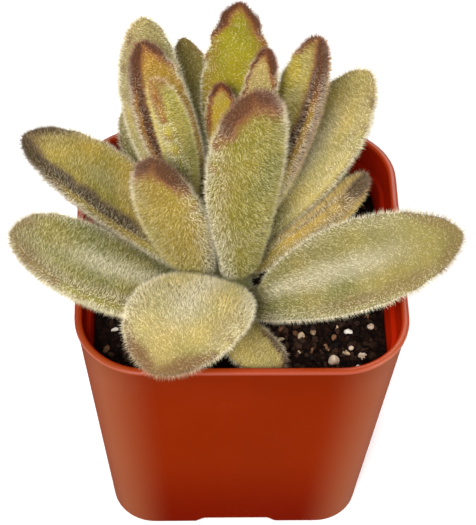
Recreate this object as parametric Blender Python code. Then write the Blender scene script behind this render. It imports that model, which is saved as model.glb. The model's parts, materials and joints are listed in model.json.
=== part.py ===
"""A panda plant in its square plastic nursery pot: pot, potting mix, stem and separate leaves.

Metres, +Z up. The origin is the middle of the pot's foot, on the surface that it stands on.
+X is the plant's right, as seen from the front, and +Y points to its back.
"""

import math
import random
from collections import namedtuple

import bmesh
import bpy
from mathutils import Matrix, Vector, noise
from mathutils.bvhtree import BVHTree

MM = 0.001

# Pot: a thin square tub with round corners, wider at the top
POT_TOP = 57.0 * MM
POT_FOOT = 44.5 * MM
POT_HEIGHT = 52.5 * MM
TOP_CORNER = 12.0 * MM
FOOT_CORNER = 7.6 * MM
WALL = 1.0 * MM
LIP_HEIGHT = 1.2 * MM
LIP_PROUD = 0.3 * MM
COLLAR_DEPTH = 5.0 * MM
LEDGE = 0.9 * MM
FOOT_BEVEL = 0.8 * MM
FLOOR = 1.2 * MM
NOTCH_WIDE = 15.5 * MM
NOTCH_NARROW = 11.5 * MM
NOTCH_HEIGHT = 1.8 * MM
NOTCH_DEPTH = 4.0 * MM
DRAIN_RADIUS = 2.6 * MM
DRAIN_OFFSET = 12.0 * MM
CORNER_STEPS = 6

# Potting mix
GAP = 0.3 * MM
SEAT_GAP = 0.5 * MM
SOIL_TOP = 45.5 * MM
SOIL_ROUGH = 0.9 * MM
SOIL_RINGS = 11
GRAINS = 46
GRAIN_SIZE = (0.8 * MM, 1.7 * MM)
SOIL_SEED = 11

# Stem: upright in the mix, leaning back and to the left above it
STEM_FOOT = Vector((-1.2, -7.5, 0.0)) * MM
STEM_LEAN = Vector((-0.10, 0.42, 0.0))
STEM_LEANS_FROM = 46.5 * MM
STEM_BOTTOM = 27.0 * MM
STEM_TOP = 71.5 * MM
STEM_RADIUS = 3.4 * MM
STEM_TIP_RADIUS = 1.9 * MM
STEM_SIDES = 12
STEM_RINGS = 22

# Leaf: shares of the leaf's own length, width and thickness
LEAF_SIDES = 12
BLADE_RINGS = 8
TIP_RINGS = 13
SEAT_LIFT = 20.0
ELBOW = 6.0 * MM
WIDEST_AT = 0.60
BASE_SHARE = 0.40
TEETH_FROM = 0.56
UPPER_SHARE = 0.36

Leaf = namedtuple("Leaf", "name seat azimuth lift curl sway roll length width thick groove teeth")

# One line a leaf, lowest first. Seat, length, width and thickness are in millimetres and the rest in
# degrees, except groove, a share of the half width, and teeth, the depth of the notches in millimetres.
LEAVES = [
    Leaf("leaf_front_right_low", 47.1, -85, 0, 32, 48, -12, 16.0, 9.6, 2.6, 0.08, 0.35),
    Leaf("leaf_right_front", 48.9, -42, 43, -28, 39, 41, 48.0, 14.7, 5.2, 0.2, 0.30),
    Leaf("leaf_left_front", 48.5, 209, 39, -2, -27, 0, 44.0, 18.3, 5.2, 0.2, 0.30),
    Leaf("leaf_back_low_left", 47.6, 117, 13, 1, 0, 2, 38.1, 10.7, 4.6, 0.16, 0.30),
    Leaf("leaf_back_low_right", 49.2, 59, 16, -6, -0, -0, 38.1, 13.7, 4.6, 0.16, 0.30),
    Leaf("leaf_front_low", 51.7, -110, 28, -68, -1, 1, 38.9, 19.2, 5.2, 0.0, 0.40),
    Leaf("leaf_left_back", 50.8, 161, 37, -29, 4, 3, 40.9, 15.1, 4.8, 0.16, 0.35),
    Leaf("leaf_right_back_small", 52.3, 15, 39, 6, 6, -40, 25.8, 10.3, 4.6, 0.16, 0.35),
    Leaf("leaf_back_dark", 52.0, 99, 35, 24, 10, -6, 39.1, 9.4, 4.2, 0.16, 0.35),
    Leaf("leaf_front_left_up", 54.3, 212, 74, 12, -6, 35, 34.7, 12.4, 4.8, 0.1, 0.40),
    Leaf("leaf_front_up", 56.1, -71, 85, -20, -22, 30, 48.9, 15.0, 5.0, 0.1, 0.60),
    Leaf("leaf_right_back_big", 55.1, 40, 43, 25, -3, -11, 36.8, 14.7, 4.8, 0.14, 0.40),
    Leaf("leaf_back_left_tall", 55.9, 127, 60, 62, 3, 5, 43.2, 13.1, 4.4, 0.18, 0.45),
    Leaf("leaf_right_up", 59.1, 35, 69, 2, 6, -23, 38.0, 13.0, 4.4, 0.2, 0.50),
    Leaf("leaf_left_up", 60.1, 142, 68, 13, 4, -11, 36.1, 10.5, 4.2, 0.2, 0.50),
    Leaf("leaf_back_centre", 61.5, 83, 58, 27, 4, 1, 35.2, 11.4, 4.2, 0.18, 0.80),
    Leaf("leaf_left_young", 62.9, 187, 79, -25, 2, -15, 33.8, 9.2, 3.8, 0.14, 0.60),
    Leaf("leaf_right_young", 65.5, 48, 80, -1, -2, -5, 28.2, 6.8, 3.4, 0.18, 0.60),
    Leaf("leaf_bud", 67.8, 92, 80, 8, 2, -3, 16.5, 5.3, 2.6, 0.1, 0.40),
    Leaf("leaf_bud_front", 68.4, -70, 84, 6, 0, 0, 9.0, 3.6, 2.2, 0.08, 0.30),
]


def clear_scene():
    for obj in list(bpy.data.objects):
        bpy.data.objects.remove(obj, do_unlink=True)


def material(name, colour, roughness, metallic=0.0):
    found = bpy.data.materials.new(name)
    found.use_nodes = True
    shader = found.node_tree.nodes["Principled BSDF"]
    shader.inputs["Base Color"].default_value = (*colour, 1.0)
    shader.inputs["Roughness"].default_value = roughness
    shader.inputs["Metallic"].default_value = metallic
    return found


def object_from(bm, name, look):
    """A smooth-shaded object of this mesh, which is freed."""
    bmesh.ops.recalc_face_normals(bm, faces=bm.faces)
    mesh = bpy.data.meshes.new(name)
    bm.to_mesh(mesh)
    bm.free()
    mesh.shade_smooth()
    mesh.set_sharp_from_angle(angle=math.radians(40))
    mesh.materials.append(look)
    obj = bpy.data.objects.new(name, mesh)
    bpy.context.scene.collection.objects.link(obj)
    return obj


def loft(bm, rings):
    """Skins rings of points that have one count, and caps the first and the last."""
    loops = [[bm.verts.new(point) for point in ring] for ring in rings]
    for lower, upper in zip(loops, loops[1:]):
        for i in range(len(lower)):
            j = (i + 1) % len(lower)
            bm.faces.new((lower[i], lower[j], upper[j], upper[i]))
    bm.faces.new(list(reversed(loops[0])))
    bm.faces.new(loops[-1])


def union_all(obj, pieces, operation="UNION"):
    """Joins or cuts the pieces with one Boolean, applies it and removes them."""
    group = bpy.data.collections.new(obj.name + "_pieces")
    bpy.context.scene.collection.children.link(group)
    for piece in pieces:
        bpy.context.scene.collection.objects.unlink(piece)
        group.objects.link(piece)
    boolean = obj.modifiers.new("join", "BOOLEAN")
    boolean.operation = operation
    boolean.operand_type = "COLLECTION"
    boolean.collection = group
    boolean.solver = "EXACT"
    graph = bpy.context.evaluated_depsgraph_get()
    joined = bpy.data.meshes.new_from_object(obj.evaluated_get(graph))
    obj.modifiers.clear()
    obj.data = joined
    for piece in pieces:
        bpy.data.objects.remove(piece, do_unlink=True)
    bpy.data.collections.remove(group)


def rounded_square(width, corner, z, steps=CORNER_STEPS):
    """A ring of points round a square of this width, with round corners of that radius."""
    reach = width / 2 - corner
    ring = []
    for quarter, (sx, sy) in enumerate(((1, -1), (1, 1), (-1, 1), (-1, -1))):
        for step in range(steps + 1):
            angle = math.radians(90 * (quarter - 1) + 90 * step / steps)
            ring.append(Vector((sx * reach + corner * math.cos(angle), sy * reach + corner * math.sin(angle), z)))
    return ring


def pot_width(z):
    """Outer width of the pot's plain wall at this height."""
    return POT_FOOT + (POT_TOP - 2 * LIP_PROUD - POT_FOOT) * z / POT_HEIGHT


def pot_corner(z):
    return FOOT_CORNER + (TOP_CORNER - FOOT_CORNER) * z / POT_HEIGHT


def wall_ring(z, inset, steps=CORNER_STEPS):
    """A ring on the pot's wall at this height, set in from its outside by inset."""
    return rounded_square(pot_width(z) - 2 * inset, max(pot_corner(z) - inset, 1 * MM), z, steps)


def notch_cutter(turn):
    """A flat trapezoid block that cuts the drain slot in the foot of one side."""
    bm = bmesh.new()
    outline = (
        (-NOTCH_WIDE / 2 - 1 * MM, -1 * MM),
        (NOTCH_WIDE / 2 + 1 * MM, -1 * MM),
        (NOTCH_WIDE / 2, 0.2 * MM),
        (NOTCH_NARROW / 2, NOTCH_HEIGHT),
        (-NOTCH_NARROW / 2, NOTCH_HEIGHT),
        (-NOTCH_WIDE / 2, 0.2 * MM),
    )
    rotate = Matrix.Rotation(turn, 3, "Z")
    reach = (POT_FOOT / 2 - NOTCH_DEPTH, POT_TOP / 2)
    loft(bm, [[rotate @ Vector((x, y, z)) for x, z in outline] for y in reach])
    return object_from(bm, "notch_cutter", bpy.data.materials["pot_plastic"])


def drain_cutter(x, y):
    bm = bmesh.new()
    ring = [(math.cos(a), math.sin(a)) for a in (2 * math.pi * k / 14 for k in range(14))]
    loft(bm, [[Vector((x + DRAIN_RADIUS * c, y + DRAIN_RADIUS * s, z)) for c, s in ring] for z in (-1 * MM, 4 * MM)])
    return object_from(bm, "drain_cutter", bpy.data.materials["pot_plastic"])


def build_pot(look):
    collar = POT_HEIGHT - COLLAR_DEPTH
    lip = POT_HEIGHT - LIP_HEIGHT
    rings = [
        wall_ring(0, FOOT_BEVEL),
        wall_ring(FOOT_BEVEL, 0),
        wall_ring(POT_HEIGHT * 0.5, 0),
        wall_ring(lip, 0),
        wall_ring(lip + 0.3 * MM, -LIP_PROUD),
        wall_ring(POT_HEIGHT - 0.3 * MM, -LIP_PROUD),
        wall_ring(POT_HEIGHT, -LIP_PROUD * 0.2),
        wall_ring(POT_HEIGHT, WALL - 0.2 * MM),
        wall_ring(POT_HEIGHT - 0.3 * MM, WALL),
        wall_ring(collar, WALL),
        wall_ring(collar - 0.3 * MM, WALL + LEDGE),
        wall_ring(POT_HEIGHT * 0.45, WALL + LEDGE * 0.7),
        wall_ring(FLOOR + 1.5 * MM, WALL + LEDGE * 0.5),
        wall_ring(FLOOR, WALL + LEDGE * 0.5 + 1.2 * MM),
    ]
    bm = bmesh.new()
    loft(bm, rings)
    pot = object_from(bm, "pot", look)
    cutters = [notch_cutter(side * math.pi / 2) for side in range(4)]
    for sx in (-1, 1):
        for sy in (-1, 1):
            cutters.append(drain_cutter(sx * DRAIN_OFFSET, sy * DRAIN_OFFSET))
    union_all(pot, cutters, "DIFFERENCE")
    return pot


def soil_height(x, y):
    """Height of the mix: rolling, and a little higher round the stem."""
    place = Vector((x, y, 0)) / (7 * MM)
    fine = Vector((x, y, 4 * MM)) / (2.2 * MM)
    mound = 1.2 * MM * math.exp(-((x - STEM_FOOT.x) ** 2 + (y - STEM_FOOT.y) ** 2) / (9 * MM) ** 2)
    return SOIL_TOP - 1.0 * MM + mound + SOIL_ROUGH * (noise.noise(place) + 0.7 * noise.noise(fine))


def build_soil(look):
    """The block of mix that fills the pot, with grit sunk in its top and a plain hole for the stem."""
    steps = 9
    inner = WALL + LEDGE + GAP
    rings = [
        wall_ring(FLOOR + GAP, inner + 1.5 * MM, steps),
        wall_ring(FLOOR + 2 * MM, inner, steps),
        wall_ring(SOIL_TOP - 2.5 * MM, inner, steps),
    ]
    edge = wall_ring(SOIL_TOP, inner + 0.2 * MM, steps)
    for k in range(SOIL_RINGS):
        share = 1 - (k / SOIL_RINGS) ** 0.9
        ring = []
        for point in edge:
            x, y = point.x * share, point.y * share
            ring.append(Vector((x, y, soil_height(x, y))))
        rings.append(ring)
    bm = bmesh.new()
    loft(bm, rings)
    surface = BVHTree.FromBMesh(bm)
    soil = object_from(bm, "potting_mix", look)

    draw = random.Random(SOIL_SEED)
    reach = pot_width(SOIL_TOP) / 2 - inner - 2.4 * MM
    grains = []
    while len(grains) < GRAINS:
        x, y = draw.uniform(-reach, reach), draw.uniform(-reach, reach)
        size = draw.uniform(*GRAIN_SIZE)
        near_stem = math.hypot(x - STEM_FOOT.x, y - STEM_FOOT.y) < STEM_RADIUS + 3 * MM
        if near_stem or abs(x) + abs(y) > 1.5 * reach:
            continue
        bm = bmesh.new()
        bmesh.ops.create_icosphere(bm, subdivisions=1, radius=size)
        turn = Matrix.Rotation(draw.uniform(0, math.tau), 4, "Z") @ Matrix.Rotation(draw.uniform(0, math.tau), 4, "X")
        squat = Matrix.Diagonal((1.0, draw.uniform(0.6, 1.0), draw.uniform(0.55, 0.8), 1.0))
        ground = surface.ray_cast(Vector((x, y, 1.0)), Vector((0, 0, -1)))[0].z
        place = Matrix.Translation((x, y, ground + 0.12 * size))
        bmesh.ops.transform(bm, matrix=place @ squat @ turn, verts=bm.verts)
        grains.append(object_from(bm, "grain", look))
    union_all(soil, grains)

    bm = bmesh.new()
    hole = [(math.cos(a), math.sin(a)) for a in (math.tau * k / STEM_SIDES for k in range(STEM_SIDES))]
    radius = (STEM_RADIUS + GAP) / math.cos(math.pi / STEM_SIDES)
    loft(
        bm,
        [
            [Vector((STEM_FOOT.x + radius * c, STEM_FOOT.y + radius * s, z)) for c, s in hole]
            for z in (STEM_BOTTOM - GAP, SOIL_TOP + 8 * MM)
        ],
    )
    union_all(soil, [object_from(bm, "stem_hole", look)], "DIFFERENCE")
    return soil


def stem_axis(z):
    above = max(0.0, z - STEM_LEANS_FROM)
    return Vector((STEM_FOOT.x, STEM_FOOT.y, z)) + STEM_LEAN * above


def stem_radius(z):
    share = min(1.0, max(0.0, (z - SOIL_TOP) / (STEM_TOP - SOIL_TOP)))
    return STEM_RADIUS + (STEM_TIP_RADIUS - STEM_RADIUS) * share


def build_stem(look):
    rings = []
    for k in range(STEM_RINGS + 1):
        z = STEM_BOTTOM + (STEM_TOP - STEM_BOTTOM) * k / STEM_RINGS
        scar = 1 - 0.045 * (0.5 + 0.5 * math.sin(2.4 * k))
        rounding = (1.0, 1.0, 0.8, 0.45)[max(0, k - STEM_RINGS + 3)]
        radius = stem_radius(z) * scar * rounding
        centre = stem_axis(z)
        ring = []
        for side in range(STEM_SIDES):
            angle = math.tau * side / STEM_SIDES
            ring.append(centre + Vector((radius * math.cos(angle), radius * math.sin(angle), 0)))
        rings.append(ring)
    bm = bmesh.new()
    loft(bm, rings)
    return object_from(bm, "stem", look)


def smooth(x):
    x = min(1.0, max(0.0, x))
    return x * x * (3 - 2 * x)


def direction(azimuth, lift):
    a, e = math.radians(azimuth), math.radians(lift)
    return Vector((math.cos(a) * math.cos(e), math.sin(a) * math.cos(e), math.sin(e)))


def leaf_frames(leaf, stations):
    """The leaf's midline as (centre, along, side, up) at each station, which runs from 0 to 1."""
    length = leaf.length * MM
    seat = leaf.seat * MM
    outward = direction(leaf.azimuth, 0)
    centre = stem_axis(seat) + outward * (stem_radius(seat) + SEAT_GAP)
    steps = 160
    frames, done = [], 0
    for step in range(steps + 1):
        share = step / steps
        settled = smooth(share * length / ELBOW)
        azimuth = leaf.azimuth + leaf.sway * share
        lift = SEAT_LIFT + (leaf.lift - SEAT_LIFT) * settled + leaf.curl * (share - 0.5) * settled
        along = direction(azimuth, lift)
        up = direction(azimuth, lift + 90)
        turn = Matrix.Rotation(math.radians(leaf.roll * settled), 3, along)
        up = turn @ up
        while done < len(stations) and stations[done] <= share + 1e-6:
            frames.append((centre.copy(), along, along.cross(up), up))
            done += 1
        centre = centre + along * (length / steps)
    return frames


def leaf_half_width(leaf, share, side):
    """Half the blade's width: narrow at the seat, widest past the middle, blunt and notched at the tip."""
    base = BASE_SHARE + (1 - BASE_SHARE) * math.sin(math.pi / 2 * min(1.0, share / WIDEST_AT)) ** 1.2
    past = max(0.0, (share - WIDEST_AT) / (1 - WIDEST_AT))
    tip = max(0.0, 1 - past**2.3) ** 0.62
    width = leaf.width / 2 * base * tip
    if share > TEETH_FROM and share < 0.995:
        beat = (share - TEETH_FROM) / (1 - TEETH_FROM) * 4.0 + (0.35 if side > 0 else 0.0)
        width -= leaf.teeth * smooth((share - TEETH_FROM) * 8) * (0.5 + 0.5 * math.cos(math.tau * beat)) * tip
    return max(width, 0.25) * MM


def leaf_thickness(leaf, share):
    base = 0.62 + 0.38 * smooth(share / 0.30)
    tip = max(0.0, 1 - max(0.0, (share - 0.45) / 0.55) ** 2.6) ** 0.5
    return max(leaf.thick * base * tip, 0.5) * MM


def leaf_ring(leaf, share, frame):
    """One cross-section: flatter and grooved above, rounder below, with thick round margins."""
    centre, _, side_way, up = frame
    thick = leaf_thickness(leaf, share)
    ring = []
    for k in range(LEAF_SIDES):
        angle = math.tau * k / LEAF_SIDES
        across, above = math.cos(angle), math.sin(angle)
        half = leaf_half_width(leaf, share, across)
        side = half * math.copysign(abs(across) ** 0.85, across)
        rise = thick * above * (UPPER_SHARE if above > 0 else 1 - UPPER_SHARE)
        rise += leaf.groove * half * (abs(across) ** 1.4 - 0.4) * smooth(share / 0.25)
        ring.append(centre + side_way * side + up * rise)
    return ring


def leaf_stations():
    low = [TEETH_FROM * (k / BLADE_RINGS) for k in range(BLADE_RINGS)]
    high = [TEETH_FROM + (1 - TEETH_FROM) * math.sin(math.pi / 2 * k / TIP_RINGS) for k in range(TIP_RINGS + 1)]
    return low + high


def build_leaf(leaf, look):
    stations = leaf_stations()
    frames = leaf_frames(leaf, stations)
    bm = bmesh.new()
    loft(bm, [leaf_ring(leaf, share, frame) for share, frame in zip(stations, frames)])
    return object_from(bm, leaf.name, look)


def main():
    clear_scene()
    pot_plastic = material("pot_plastic", (0.36, 0.065, 0.015), 0.42)
    potting_mix = material("potting_mix", (0.035, 0.022, 0.015), 0.95)
    stem_skin = material("stem_skin", (0.30, 0.24, 0.13), 0.8)
    leaf_skin = material("leaf_felt", (0.42, 0.40, 0.20), 0.9)
    build_pot(pot_plastic)
    build_soil(potting_mix)
    build_stem(stem_skin)
    for leaf in LEAVES:
        build_leaf(leaf, leaf_skin)


main()
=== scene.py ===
"""A panda plant in its square nursery pot: felted leaves, gritty potting mix and a thin moulded tub.

Metres, +Z up, with the origin at the middle of the pot's foot and the plant's front at -Y.
"""

import json
import math

import bmesh
import bpy
from bpy.props import FloatProperty, FloatVectorProperty, IntProperty, PointerProperty
from mathutils import Matrix, Vector, noise

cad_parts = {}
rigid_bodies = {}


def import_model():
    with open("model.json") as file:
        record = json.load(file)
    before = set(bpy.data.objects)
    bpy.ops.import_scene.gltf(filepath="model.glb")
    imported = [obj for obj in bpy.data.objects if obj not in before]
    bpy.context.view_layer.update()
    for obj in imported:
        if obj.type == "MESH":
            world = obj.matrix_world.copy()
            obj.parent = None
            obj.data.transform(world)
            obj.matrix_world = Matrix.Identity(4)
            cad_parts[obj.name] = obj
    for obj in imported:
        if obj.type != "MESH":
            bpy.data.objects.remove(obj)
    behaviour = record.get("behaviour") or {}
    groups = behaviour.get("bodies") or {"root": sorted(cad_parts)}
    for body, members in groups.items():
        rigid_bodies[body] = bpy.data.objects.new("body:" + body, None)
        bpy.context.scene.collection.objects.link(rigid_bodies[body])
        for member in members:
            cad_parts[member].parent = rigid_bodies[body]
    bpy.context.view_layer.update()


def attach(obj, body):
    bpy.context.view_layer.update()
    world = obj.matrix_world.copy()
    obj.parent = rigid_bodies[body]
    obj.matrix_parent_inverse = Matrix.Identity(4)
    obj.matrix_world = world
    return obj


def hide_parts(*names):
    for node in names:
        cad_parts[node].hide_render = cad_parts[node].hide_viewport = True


bl_info = {
    "name": "Panda Plant in a Nursery Pot",
    "version": (1, 0, 0),
    "blender": (4, 5, 0),
    "location": "3D View > Sidebar > Panda Plant",
    "description": "Dresses the plant's leaves with felt and markings, and its pot with potting mix",
    "category": "Object",
}

MM = 0.001
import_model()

# Sizes that the finer pieces share with the solids they stand for
POT_TOP = 57.0 * MM
POT_FOOT = 44.5 * MM
POT_HEIGHT = 52.5 * MM
TOP_CORNER = 12.0 * MM
FOOT_CORNER = 7.6 * MM
WALL = 1.0 * MM
LIP_HEIGHT = 1.2 * MM
LIP_PROUD = 0.3 * MM
COLLAR_DEPTH = 5.0 * MM
LEDGE = 0.9 * MM
FOOT_BEVEL = 0.8 * MM
NOTCH_WIDE = 15.5 * MM
NOTCH_NARROW = 11.5 * MM
NOTCH_HEIGHT = 1.8 * MM
NOTCH_DEPTH = 4.0 * MM
DRAIN_RADIUS = 2.6 * MM
DRAIN_OFFSET = 12.0 * MM
FLOOR = 1.2 * MM
GAP = 0.3 * MM
SOIL_TOP = 45.5 * MM
STEM_FOOT = Vector((-1.2, -7.5, 0.0)) * MM
STEM_LEAN = Vector((-0.10, 0.42, 0.0))
STEM_LEANS_FROM = 46.5 * MM
STEM_BOTTOM = 27.0 * MM
STEM_TOP = 71.5 * MM
STEM_RADIUS = 3.4 * MM
STEM_TIP_RADIUS = 1.9 * MM
SEAT_GAP = 0.5 * MM
SEAT_LIFT = 20.0
ELBOW = 6.0 * MM
WIDEST_AT = 0.60
BASE_SHARE = 0.40
TEETH_FROM = 0.56
TEETH_A_SIDE = 4.0
TEETH_STAGGER = 0.35
UPPER_SHARE = 0.36

# Colours, in linear light
PAINTED_CORNER_SHEEN = (0.24, 0.062, 0.018)
DUST = (0.30, 0.12, 0.05)
BARK = (0.030, 0.014, 0.008)
BARK_CHIP = (0.16, 0.075, 0.035)
TAN_CHIP = (0.42, 0.30, 0.19)
PALE_CHIP = (0.72, 0.68, 0.60)
STONE = (0.52, 0.42, 0.32)
STONE_DIRT = (0.22, 0.14, 0.09)
STEM_GREEN = (0.26, 0.27, 0.08)
STEM_STRAW = (0.44, 0.40, 0.17)
LIT_STRAW = (0.62, 0.56, 0.36)
MIDLINE_HIGHLIGHT = (0.80, 0.74, 0.54)
GREY_BROWN = (0.06, 0.036, 0.020)
RUST = (0.46, 0.11, 0.03)
TAN = (0.24, 0.17, 0.08)
GOLDEN_HAIR = (0.86, 0.74, 0.36)
PINK_HAIR = (0.54, 0.21, 0.12)
TAN_HAIR = (0.55, 0.46, 0.30)
HIGHLIGHT_HAIR = (1.0, 0.93, 0.70)
HIGHLIGHT_MARKED_HAIR = (0.72, 0.50, 0.38)
HAIR_SHADOW = (0.02, 0.018, 0.004)
SKIN_SHADOW = (0.035, 0.03, 0.006)

MIX_SEED = 4
STEM_SEED = 2
FIRST_LEAF_SEED = 11

# Each leaf's seat height, length, width, thickness and teeth in mm, its turns in degrees, and its groove
LEAF_COLUMNS = "seat azimuth lift curl sway roll length width thick groove teeth".split()
LEAVES = {
    "leaf_front_right_low": (47.1, -85, 0, 32, 48, -12, 16, 9.6, 2.6, 0.08, 0.35),
    "leaf_right_front": (48.9, -42, 43, -28, 39, 41, 48, 14.7, 5.2, 0.2, 0.3),
    "leaf_left_front": (48.5, 209, 39, -2, -27, 0, 44, 18.3, 5.2, 0.2, 0.3),
    "leaf_back_low_left": (47.6, 117, 13, 1, 0, 2, 38.1, 10.7, 4.6, 0.16, 0.3),
    "leaf_back_low_right": (49.2, 59, 16, -6, 0, 0, 38.1, 13.7, 4.6, 0.16, 0.3),
    "leaf_front_low": (51.7, -110, 28, -68, -1, 1, 38.9, 19.2, 5.2, 0, 0.4),
    "leaf_left_back": (50.8, 161, 37, -29, 4, 3, 40.9, 15.1, 4.8, 0.16, 0.35),
    "leaf_right_back_small": (52.3, 15, 39, 6, 6, -40, 25.8, 10.3, 4.6, 0.16, 0.35),
    "leaf_back_dark": (52, 99, 35, 24, 10, -6, 39.1, 9.4, 4.2, 0.16, 0.35),
    "leaf_front_left_up": (54.3, 212, 74, 12, -6, 35, 34.7, 12.4, 4.8, 0.1, 0.4),
    "leaf_front_up": (56.1, -71, 85, -20, -22, 30, 48.9, 15, 5, 0.1, 0.6),
    "leaf_right_back_big": (55.1, 40, 43, 25, -3, -11, 36.8, 14.7, 4.8, 0.14, 0.4),
    "leaf_back_left_tall": (55.9, 127, 60, 62, 3, 5, 43.2, 13.1, 4.4, 0.18, 0.45),
    "leaf_right_up": (59.1, 35, 69, 2, 6, -23, 38, 13, 4.4, 0.2, 0.5),
    "leaf_left_up": (60.1, 142, 68, 13, 4, -11, 36.1, 10.5, 4.2, 0.2, 0.5),
    "leaf_back_centre": (61.5, 83, 58, 27, 4, 1, 35.2, 11.4, 4.2, 0.18, 0.8),
    "leaf_left_young": (62.9, 187, 79, -25, 2, -15, 33.8, 9.2, 3.8, 0.14, 0.6),
    "leaf_right_young": (65.5, 48, 80, -1, -2, -5, 28.2, 6.8, 3.4, 0.18, 0.6),
    "leaf_bud": (67.8, 92, 80, 8, 2, -3, 16.5, 5.3, 2.6, 0.1, 0.4),
    "leaf_bud_front": (68.4, -70, 84, 6, 0, 0, 9, 3.6, 2.2, 0.08, 0.3),
}

# Each leaf's colours, as they look, and how strong its stains are: along the margin on its left and on its
# right as it points away from the stem, at its tip and as freckles. Maroon is 1 where the stains are red-brown
# and 0 where they are grey-brown, and pale is how strong the painted highlight down the leaf's middle is.
LOOK_COLUMNS = "upper under left right tip freckle maroon pale".split()
LOOKS = {
    "leaf_front_right_low": ("#D6C68C", "#B9A862", 0.9, 0.1, 0.8, 0.6, 0.2, 0.1),
    "leaf_right_front": ("#88815F", "#7A7238", 0.0, 0.45, 0.5, 0.25, 0.2, 0.85),
    "leaf_left_front": ("#7A7646", "#8A8034", 0.35, 0.0, 0.5, 0.25, 0.2, 0.75),
    "leaf_back_low_left": ("#86835A", "#948A55", 0.3, 0.3, 0.4, 0.3, 0.3, 0.3),
    "leaf_back_low_right": ("#86835A", "#948A55", 0.3, 0.3, 0.4, 0.3, 0.3, 0.3),
    "leaf_front_low": ("#DCCEA2", "#A89244", 0.3, 0.25, 0.66, 0.55, 0.35, 0.8),
    "leaf_left_back": ("#B09C48", "#A08A34", 1.0, 0.1, 0.9, 0.6, 0.1, 0.2),
    "leaf_right_back_small": ("#AC9450", "#937D40", 0.3, 0.5, 0.9, 0.6, 0.2, 0.2),
    "leaf_back_dark": ("#8E8250", "#6A5C35", 0.3, 0.3, 0.5, 0.7, 0.2, 0.2),
    "leaf_front_left_up": ("#968C48", "#8E7A30", 0.25, 0.25, 0.9, 0.6, 0.6, 0.0),
    "leaf_front_up": ("#76701C", "#7C731E", 0.25, 0.25, 0.9, 0.2, 0.7, 0.0),
    "leaf_right_back_big": ("#AFA47C", "#A08D52", 0.15, 0.25, 0.4, 0.7, 0.2, 0.6),
    "leaf_back_left_tall": ("#C4B894", "#B29E6C", 0.1, 0.1, 0.35, 0.5, 0.3, 0.7),
    "leaf_right_up": ("#A09226", "#B09C48", 0.0, 1.0, 0.9, 0.1, 0.7, 0.0),
    "leaf_left_up": ("#B48C2C", "#B49C58", 1.0, 0.2, 1.0, 0.1, 0.8, 0.0),
    "leaf_back_centre": ("#8C8410", "#948428", 0.35, 0.35, 1.0, 0.05, 0.8, 0.0),
    "leaf_left_young": ("#A0983C", "#A89C48", 0.0, 0.0, 0.55, 0.0, 0.9, 0.0),
    "leaf_right_young": ("#B09A50", "#C4B070", 0.8, 0.0, 1.0, 0.1, 0.9, 0.0),
    "leaf_bud": ("#A8912A", "#B08A30", 0.7, 0.7, 1.0, 0.1, 1.0, 0.0),
    "leaf_bud_front": ("#A8853E", "#9A8040", 0.7, 0.7, 0.9, 0.1, 1.0, 0.0),
}


class PotSizes(bpy.types.PropertyGroup):
    corner_steps: IntProperty(name="Corner steps", description="Faces round each corner of the pot", default=14)
    lip_round: FloatProperty(
        name="Lip rounding", description="Radius of the rolled lip", default=0.3 * MM, unit="LENGTH"
    )
    plastic: FloatVectorProperty(
        name="Plastic", description="Colour of the moulded pot", default=(0.165, 0.0125, 0.0008), subtype="COLOR"
    )


class MixSizes(bpy.types.PropertyGroup):
    crumbs: IntProperty(name="Crumbs", description="Crumbs of peat and bark on the mix", default=1500)
    crumb_size: FloatProperty(
        name="Crumb size", description="Radius of a middling crumb", default=0.62 * MM, unit="LENGTH"
    )
    peat: FloatVectorProperty(
        name="Peat", description="Colour of the damp mix", default=(0.007, 0.0028, 0.0018), subtype="COLOR"
    )


class FeltSizes(bpy.types.PropertyGroup):
    per_mm2: FloatProperty(name="Hairs per mm2", description="Hairs on each square millimetre", default=15.5)
    hair_length: FloatProperty(
        name="Hair length", description="Length of a middling hair", default=1.15 * MM, unit="LENGTH"
    )
    hair_radius: FloatProperty(
        name="Hair radius", description="Radius of a hair at its root", default=0.042 * MM, unit="LENGTH"
    )
    cream: FloatVectorProperty(
        name="Hair colour", description="Colour of the hairs' tips", default=(0.95, 0.87, 0.62), subtype="COLOR"
    )
    stain: FloatVectorProperty(
        name="Marking", description="Colour of the brown markings", default=(0.15, 0.016, 0.012), subtype="COLOR"
    )


class StageSizes(bpy.types.PropertyGroup):
    azimuth: FloatProperty(name="Azimuth", description="Camera's turn round the pot, in degrees", default=-3.2)
    elevation: FloatProperty(name="Elevation", description="Camera's height angle, in degrees", default=49.0)
    distance: FloatProperty(name="Distance", description="From camera to pot", default=400 * MM, unit="LENGTH")
    roll: FloatProperty(name="Roll", description="Camera's tilt, in degrees", default=2.33)
    lens: FloatProperty(name="Lens", description="Focal length on a 36 mm sensor, in mm", default=156.1)
    floor: FloatVectorProperty(name="Floor", description="Floor colour", default=(0.9, 0.9, 0.9), subtype="COLOR")


def hex_colour(text):
    """A linear colour from the six digits that a screen shows."""
    parts = [int(text[i : i + 2], 16) / 255 for i in (1, 3, 5)]
    return tuple(p / 12.92 if p <= 0.04045 else ((p + 0.055) / 1.055) ** 2.4 for p in parts)


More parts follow.
